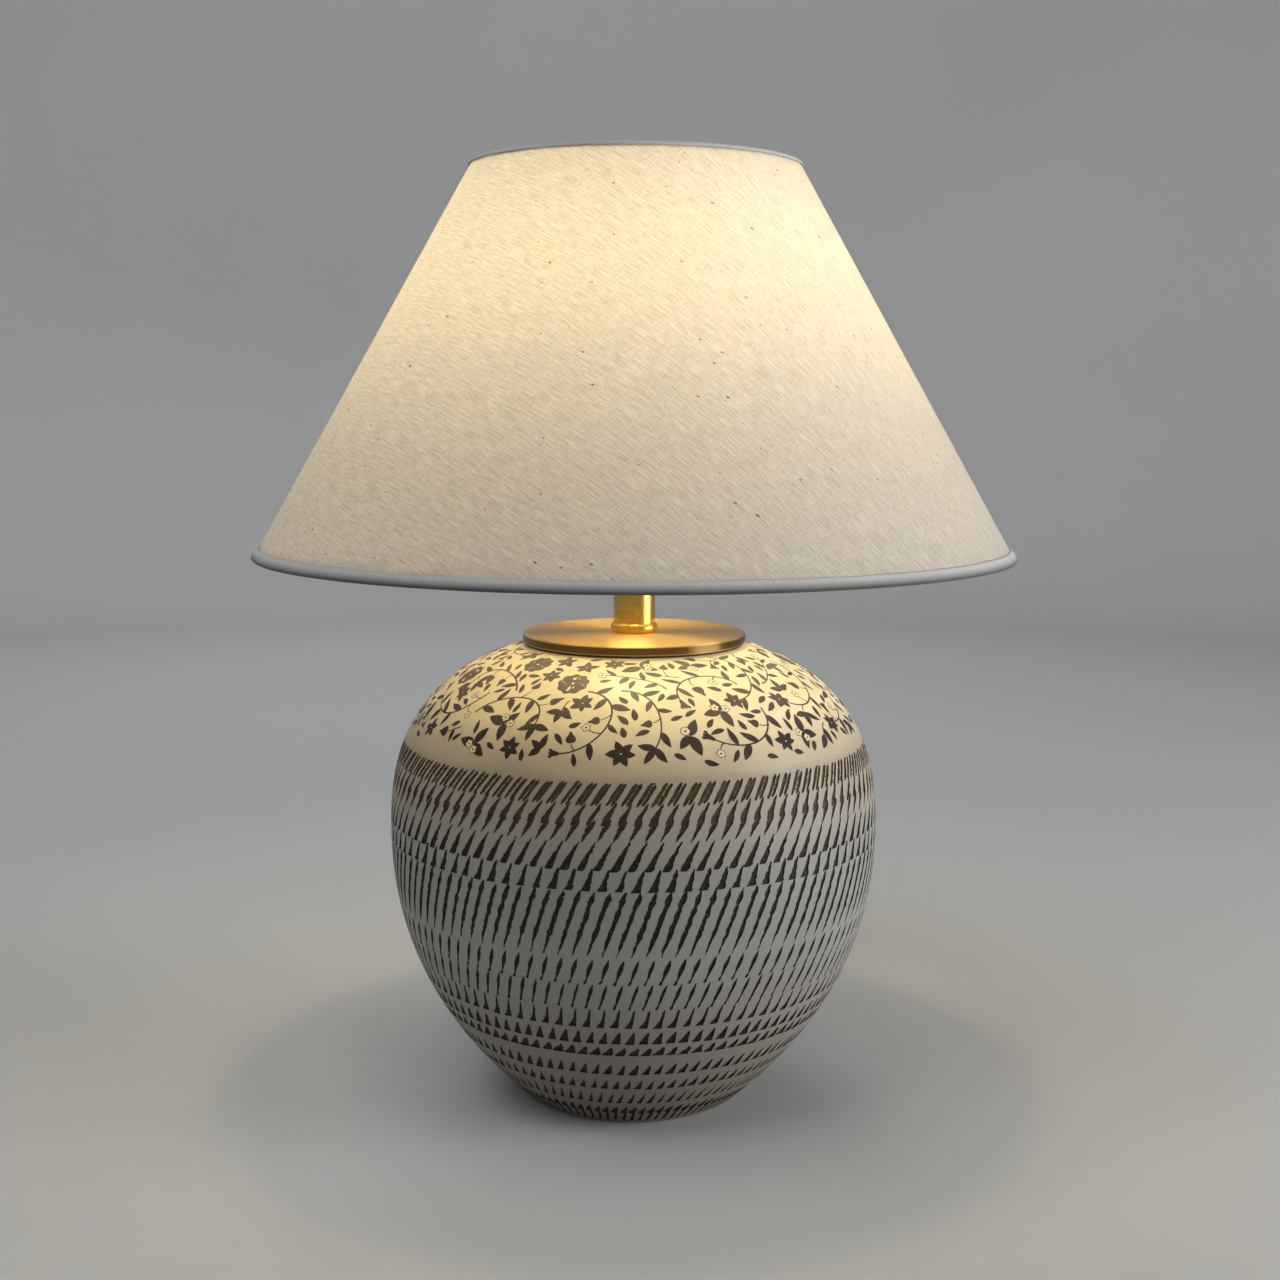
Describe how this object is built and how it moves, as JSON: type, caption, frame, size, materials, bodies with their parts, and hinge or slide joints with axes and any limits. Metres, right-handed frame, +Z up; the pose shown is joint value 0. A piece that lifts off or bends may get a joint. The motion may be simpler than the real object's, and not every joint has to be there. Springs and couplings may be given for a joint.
{
  "type": "table lamp",
  "caption": "Table lamp with a carved and flower-printed ceramic vase base, brass plate and column, harp, and wide linen cone shade.",
  "frame": {"origin": "on the table, under the middle of the foot", "axes": "+Z up along the column, +Y towards the back, where the cord hole is"},
  "size_m": [0.4499, 0.45, 0.568],
  "materials": {
    "felt": "felt",
    "ceramic": "glazed stoneware with carved and printed decoration",
    "rubber": "matte",
    "zinc": "zinc plated",
    "gasket": "matte",
    "brass": "satin, lathe turned",
    "brass_part": "drawn brass",
    "card": "insulating card",
    "porcelain": "fired, unglazed",
    "bulb_metal": "rolled",
    "bulb_black": "gloss",
    "bulb_body": "matte white",
    "board": "white solder mask",
    "globe": "frosted, lit",
    "linen": "slub linen weave",
    "backing": "translucent film",
    "binding": "linen binding"
  },
  "bodies": {
    "base": {"foot_pad": "felt", "vase": "ceramic", "cord_grommet": "rubber", "base_washer": "zinc", "lock_washer": "zinc", "base_nut": "zinc", "threaded_rod": "zinc", "mouth_gasket": "gasket", "cap_plate": "brass", "column_collar": "brass", "column_tube": "brass", "column_cap": "brass", "harp_saddle": "brass", "saddle_nut": "brass_part", "socket_cap": "brass", "socket_shell": "brass", "socket_liner": "card", "socket_core": "porcelain", "screw_shell": "brass_part", "centre_contact": "brass_part", "terminal_screws": "brass_part"},
    "bulb_contact": {"bulb_tip": "bulb_metal"},
    "bulb": {"bulb_insulator": "bulb_black", "bulb_cap": "bulb_metal", "bulb_housing": "bulb_body", "led_board": "board", "bulb_globe": "globe"},
    "harp": {"harp_bow": "brass", "harp_stud": "brass"},
    "left_ferrule": {"ferrule_left": "brass"},
    "right_ferrule": {"ferrule_right": "brass"},
    "shade_seat": {"spider_washer": "brass"},
    "shade": {"spider_arms": "brass", "shade_fabric": "linen", "shade_liner": "backing", "top_ring": "zinc", "bottom_ring": "zinc", "top_hem": "binding", "bottom_hem": "binding"},
    "shade_nut": {"finial": "brass"}
  },
  "joints": [
    {"name": "harp_lift", "type": "slide", "parent": "base", "child": "harp", "axis": [0, 0, 1], "range_m": [0, 0.018]},
    {"name": "left_ferrule_lift", "type": "slide", "parent": "harp", "child": "left_ferrule", "axis": [0, 0, 1], "range_m": [0, 0.01]},
    {"name": "right_ferrule_lift", "type": "slide", "parent": "harp", "child": "right_ferrule", "axis": [0, 0, 1], "range_m": [0, 0.01]},
    {"name": "shade_lift", "type": "slide", "parent": "harp", "child": "shade_seat", "axis": [0, 0, 1], "range_m": [0, 0.24]},
    {"name": "shade_turn", "type": "hinge", "parent": "shade_seat", "child": "shade", "pos_m": [0, 0, 0.5476], "axis": [0, 0, 1], "continuous": true},
    {"name": "finial_lift", "type": "slide", "parent": "shade_seat", "child": "shade_nut", "axis": [0, 0, 1], "range_m": [0, 0.018]},
    {"name": "bulb_travel", "type": "slide", "parent": "base", "child": "bulb_contact", "axis": [0, 0, 1], "range_m": [0, 0.01653]},
    {"name": "bulb_turn", "type": "hinge", "parent": "bulb_contact", "child": "bulb", "pos_m": [0, 0, 0.3902], "axis": [0, 0, 1], "range_deg": [0, 1620]}
  ],
  "couplings": [
    {"joint": "bulb_travel", "follows": "bulb_turn", "m_per_rad": 0.00057757}
  ]
}
